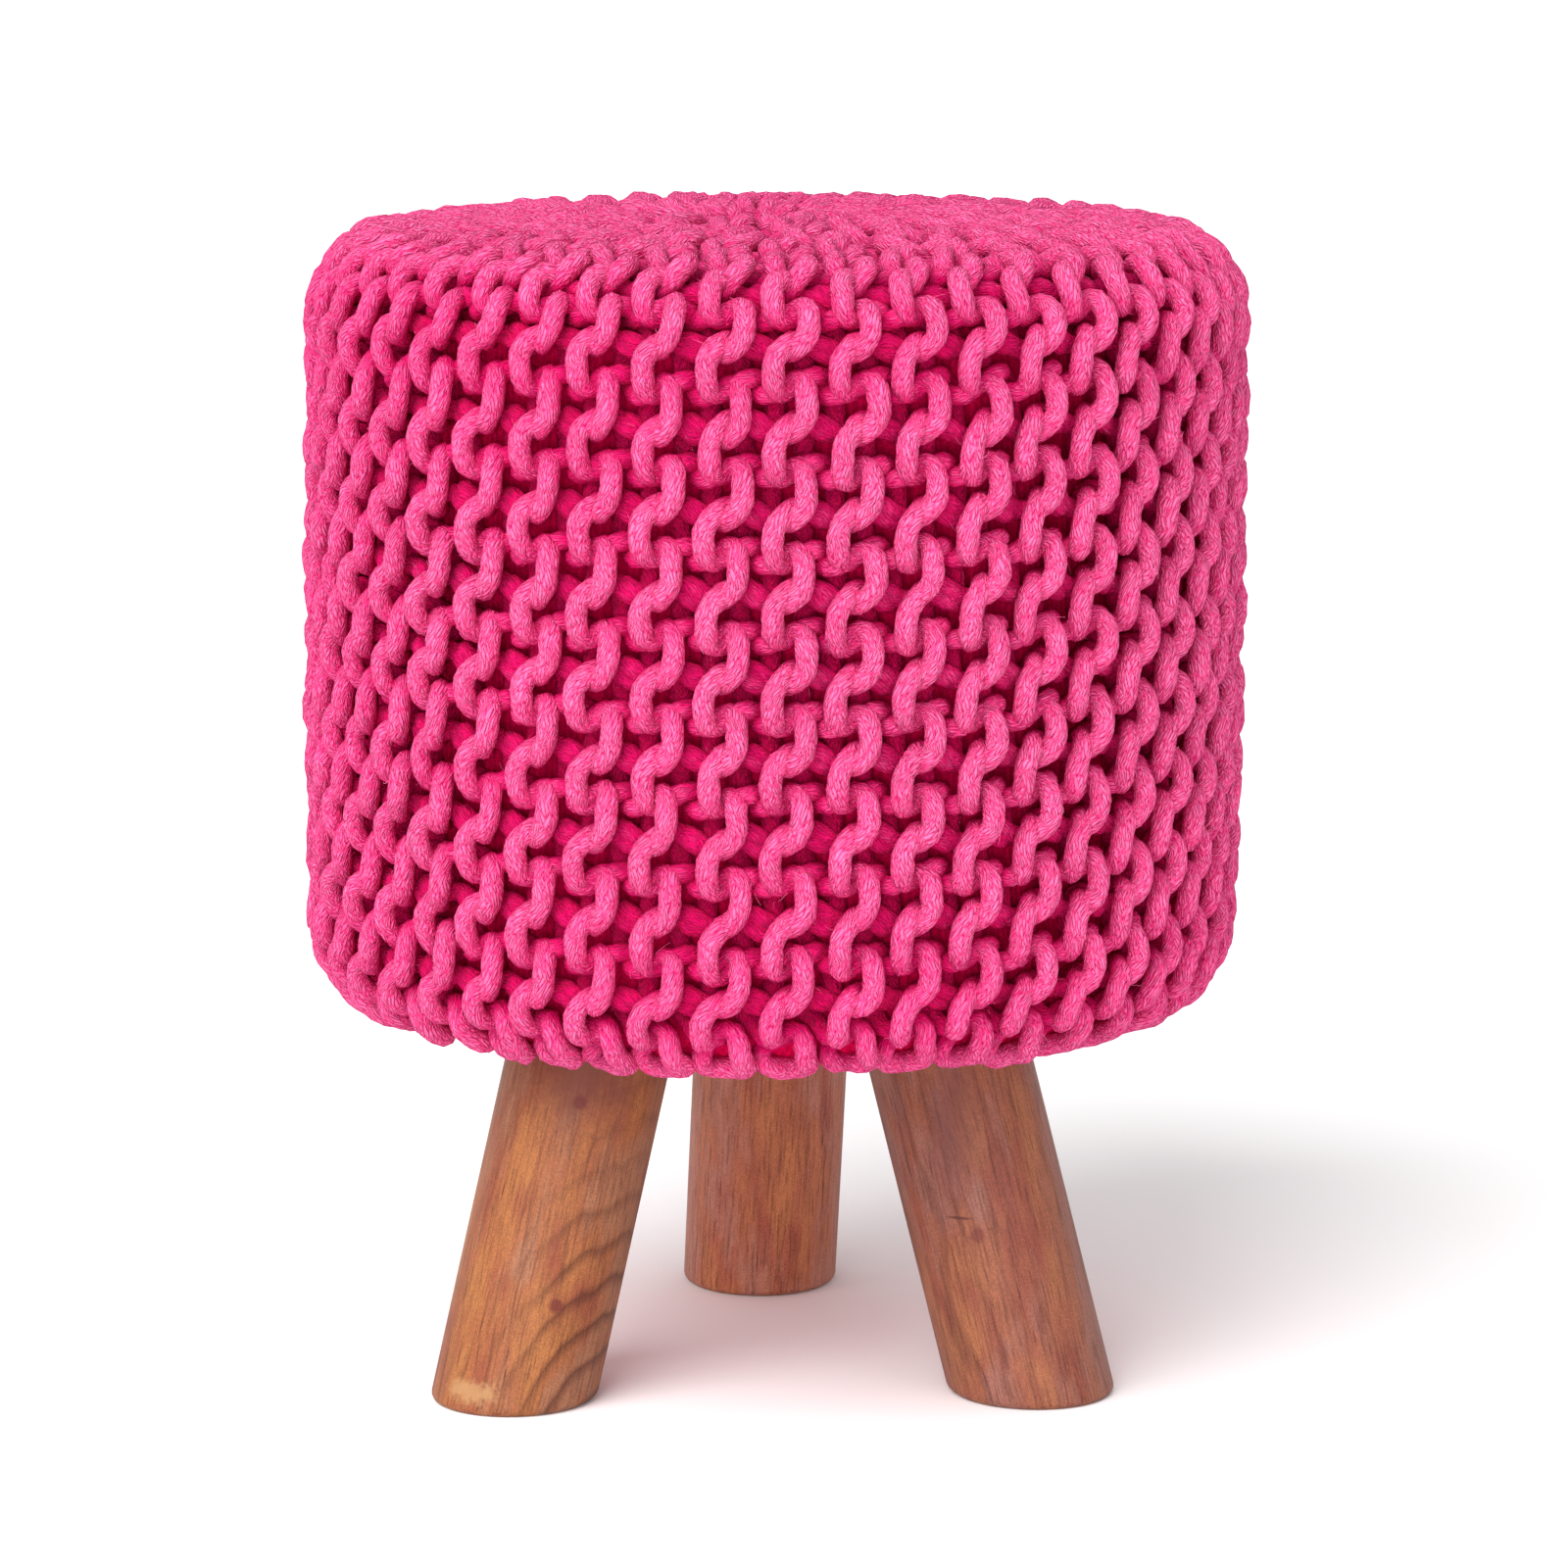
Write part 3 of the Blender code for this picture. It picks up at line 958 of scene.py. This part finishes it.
class PoufLegSettings(bpy.types.PropertyGroup):
    """Size and colour of the legs."""

    wood_colour: bpy.props.FloatVectorProperty(
        name="Wood colour",
        description="Colour of the oiled wood between its growth lines",
        **COLOUR,
        default=(0.295, 0.099, 0.042, 1.0),
    )
    radius: bpy.props.FloatProperty(
        name="Leg radius",
        description="Half the thickness of a leg",
        unit="LENGTH",
        default=LEG_RADIUS,
        min=0.02,
        max=0.0281,
    )


class PoufStageSettings(bpy.types.PropertyGroup):
    """Floor and light."""

    floor_colour: bpy.props.FloatVectorProperty(
        name="Floor colour",
        description="Colour of the plain floor",
        **COLOUR,
        default=(0.90, 0.90, 0.90, 1.0),
    )
    key_power: bpy.props.FloatProperty(
        name="Main light",
        description="Strength of the soft light from the upper left",
        default=3.7,
        min=0.0,
        max=50.0,
    )
    fill_power: bpy.props.FloatProperty(
        name="Fill light",
        description="Power of the large light at the right",
        subtype="POWER",
        default=11.0,
        min=0.0,
        max=500.0,
    )
    front_power: bpy.props.FloatProperty(
        name="Front light",
        description="Power of the large low light in front, which reaches in under the seat",
        subtype="POWER",
        default=26.0,
        min=0.0,
        max=500.0,
    )


# Camera at the photograph's viewing angle
CAMERA_PLACE = (0.00425, -2.012, 0.5605)
CAMERA_PITCH = radians(10.03)
CAMERA_RANGE = (0.05, 60.0)
FOCAL_PIXELS = 5984.0
FRAME_PIXELS = 1600.0
SENSOR = 36.0

# Soft lights, each aimed at the middle of the pouf stool
LIGHTS = (
    {"name": "key", "kind": "SUN", "at": (-1.4, -2.2, 2.4), "size": radians(52)},
    {"name": "fill", "kind": "AREA", "at": (1.7, -2.4, 0.9), "size": 1.6},
    {"name": "front", "kind": "AREA", "at": (-0.2, -2.6, 0.22), "size": 0.9},
)
LIGHT_TARGET = Vector((0.0, 0.0, 0.22))
DAYLIGHT = 0.75
FLOOR_SIZE = 24.0


class POUF_OT_stage(bpy.types.Operator):
    """Makes the camera, the floor and the soft studio light"""

    bl_idname = "pouf.stage"
    bl_label = "Camera, floor and light"

    def execute(self, context):
        settings = context.scene.pouf_stage
        deselect_all()
        bpy.ops.object.camera_add(location=CAMERA_PLACE, rotation=(pi / 2 - CAMERA_PITCH, 0.0, 0.0))
        camera = context.object
        camera.name = "camera"
        camera.data.sensor_width = SENSOR
        camera.data.lens = SENSOR * FOCAL_PIXELS / FRAME_PIXELS
        camera.data.clip_start, camera.data.clip_end = CAMERA_RANGE
        context.scene.camera = camera

        deselect_all()
        bpy.ops.mesh.primitive_plane_add(size=FLOOR_SIZE, location=(0.0, 0.0, 0.0))
        floor = context.object
        floor.name = "floor"
        paper = NodeMaker("pale_floor")
        paper.set(Base_Color=settings.floor_colour[:], Roughness=0.9, Specular_IOR_Level=0.1)
        floor.data.materials.append(paper.material)

        for row in LIGHTS:
            aim = (LIGHT_TARGET - Vector(row["at"])).to_track_quat("-Z", "Y").to_euler()
            bpy.ops.object.light_add(type=row["kind"], location=row["at"], rotation=aim)
            light = context.object
            light.name = row["name"]
            light.data.energy = getattr(settings, row["name"] + "_power")
            if row["kind"] == "SUN":
                light.data.angle = row["size"]
            else:
                light.data.size = row["size"]

        world = bpy.data.worlds.new("studio")
        world.use_nodes = True
        background = world.node_tree.nodes["Background"]
        background.inputs["Color"].default_value = (1.0, 1.0, 1.0, 1.0)
        background.inputs["Strength"].default_value = DAYLIGHT
        context.scene.world = world
        context.scene.view_settings.view_transform = "Standard"
        return {"FINISHED"}


# The drum behind the knit
GROUND_DEPTH = 16.6 * MM  # how far it lies inside the crown line
GROUND_SIDES = 144
GROUND_EDGE = {"offset": 12.0 * MM, "segments": 5}
GROUND_INSETS = (0.03, 0.03, 0.03, 0.025)  # rings of faces towards the middles of its ends


class POUF_OT_ground(bpy.types.Operator):
    """Makes the stuffed drum that shows between the loops and as the flat underside"""

    bl_idname = "pouf.ground"
    bl_label = "Drum behind the knit"

    def execute(self, context):
        top = SHOULDER_HEIGHT + EDGE_LINE_RADIUS - GROUND_DEPTH
        bottom = UNDERSIDE_HEIGHT
        drum = add_cylinder(
            "seat_ground",
            vertices=GROUND_SIDES,
            radius=CROWN_LINE_RADIUS - GROUND_DEPTH,
            depth=top - bottom,
            location=(0.0, 0.0, (top + bottom) / 2),
        )
        for height in (top, bottom):
            select_rim(drum, height)
            bpy.ops.mesh.bevel(**GROUND_EDGE, affect="EDGES", clamp_overlap=False)
        bpy.ops.mesh.select_mode(type="FACE")
        select_in_mesh(drum, "faces", lambda f: len(f.verts) == GROUND_SIDES)
        for inset in GROUND_INSETS:
            bpy.ops.mesh.inset(thickness=inset)
        bpy.ops.object.mode_set(mode="OBJECT")
        for vert in drum.data.vertices:
            if vert.co.z > top - FLUSH:
                out = vert.co.xy.length
                vert.co.z += CROWN_RISE * (1 - (out / FLAT_RADIUS) ** 2)
        finish_surface(drum, ground_material(context.scene.pouf_knit))
        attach(drum, BODY)
        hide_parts(SEAT_NODE)
        return {"FINISHED"}


class POUF_OT_knit(bpy.types.Operator):
    """Knits the yarn: every ridge's strand, in pieces round the drum"""

    bl_idname = "pouf.knit"
    bl_label = "Knitted yarn"

    def execute(self, context):
        settings = context.scene.pouf_knit
        material = yarn_material(settings)
        rng = np.random.default_rng(SEED)
        ridge_map = RidgeMap()
        drifts = {name: drift(rng, size) for name, size in DRIFTS.items()}
        bounds = np.linspace(0, RIDGE_COUNT, SECTORS + 1).round().astype(int)
        fibres = []
        for sector in range(SECTORS):
            strands = []
            for ridge in range(bounds[sector], bounds[sector + 1]):
                strand = ridge_strand(ridge, rng)
                points, widths = place_strand(ridge, strand, ridge_map, drifts)
                loose = np.clip(np.abs(strand[:, 2]) / LOOSE_HEIGHT, 0.0, 1.0)
                tight = TIGHT_YARN + (1 - TIGHT_YARN) * loose
                points, (widths, tight), run = resample(points, (widths, tight), YARN_STEP * MM)
                radii = yarn_radii(ridge, widths, tight, run, settings.thickness)
                strands.append(tube(points, radii, run, rng))
                fibres.append(stray_fibres(points, radii, rng))
            piece = yarn_object(f"knit_{sector + 1}", strands, material)
            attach(piece, BODY)
            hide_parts(SEAT_NODE)
        hairs = fibre_object("stray_fibres", np.concatenate(fibres), fibre_material(settings))
        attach(hairs, BODY)
        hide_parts(SEAT_NODE)
        return {"FINISHED"}


class POUF_OT_legs(bpy.types.Operator):
    """Turns the three wooden legs"""

    bl_idname = "pouf.legs"
    bl_label = "Wooden legs"

    def execute(self, context):
        settings = context.scene.pouf_legs
        for leg in LEGS:
            foot, rise = leg_axis(leg)
            rod = add_cylinder(
                leg["name"] + "_turned",
                vertices=LEG_SIDES,
                radius=settings.radius,
                depth=2 * LEG_TOP,
                location=foot + rise * (LEG_TOP / 2),
                rotation=Vector((0, 0, 1)).rotation_difference(rise).to_euler(),
            )
            for height, outer in ((0.0, False), (LEG_TOP, True)):
                bpy.ops.mesh.select_all(action="SELECT")
                bpy.ops.mesh.bisect(
                    plane_co=(0.0, 0.0, height),
                    plane_no=(0.0, 0.0, 1.0),
                    use_fill=True,
                    clear_inner=not outer,
                    clear_outer=outer,
                )
            select_rim(rod, 0.0)
            bpy.ops.mesh.bevel(offset=FOOT_ROUND, segments=FOOT_ROUND_STEPS, affect="EDGES")
            bpy.ops.object.mode_set(mode="OBJECT")
            finish_surface(rod, wood_material(leg, settings))
            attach(rod, BODY)
            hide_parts(leg["name"])
        return {"FINISHED"}


OPERATORS = (POUF_OT_stage, POUF_OT_ground, POUF_OT_knit, POUF_OT_legs)


class POUF_PT_panel(bpy.types.Panel):
    """Lists the pouf's settings and steps"""

    bl_idname = "POUF_PT_panel"
    bl_label = "Knitted pouf"
    bl_space_type = "VIEW_3D"
    bl_region_type = "UI"
    bl_category = "Pouf"

    def draw(self, context):
        scene = context.scene
        for group, names in (
            (scene.pouf_knit, ("colour", "thickness")),
            (scene.pouf_legs, ("wood_colour", "radius")),
            (scene.pouf_stage, ("floor_colour", "key_power", "fill_power", "front_power")),
        ):
            box = self.layout.box()
            for name in names:
                box.prop(group, name)
        for operator in OPERATORS:
            self.layout.operator(operator.bl_idname)


GROUPS = {
    "pouf_knit": PoufKnitSettings,
    "pouf_legs": PoufLegSettings,
    "pouf_stage": PoufStageSettings,
}


def register():
    for cls in (*GROUPS.values(), *OPERATORS, POUF_PT_panel):
        bpy.utils.register_class(cls)
    for name, group in GROUPS.items():
        setattr(bpy.types.Scene, name, bpy.props.PointerProperty(type=group))


def unregister():
    for name in GROUPS:
        delattr(bpy.types.Scene, name)
    for cls in reversed((*GROUPS.values(), *OPERATORS, POUF_PT_panel)):
        bpy.utils.unregister_class(cls)


def main():
    register()
    bpy.ops.pouf.stage()
    bpy.ops.pouf.ground()
    bpy.ops.pouf.knit()
    bpy.ops.pouf.legs()


if __name__ == "__main__":
    main()
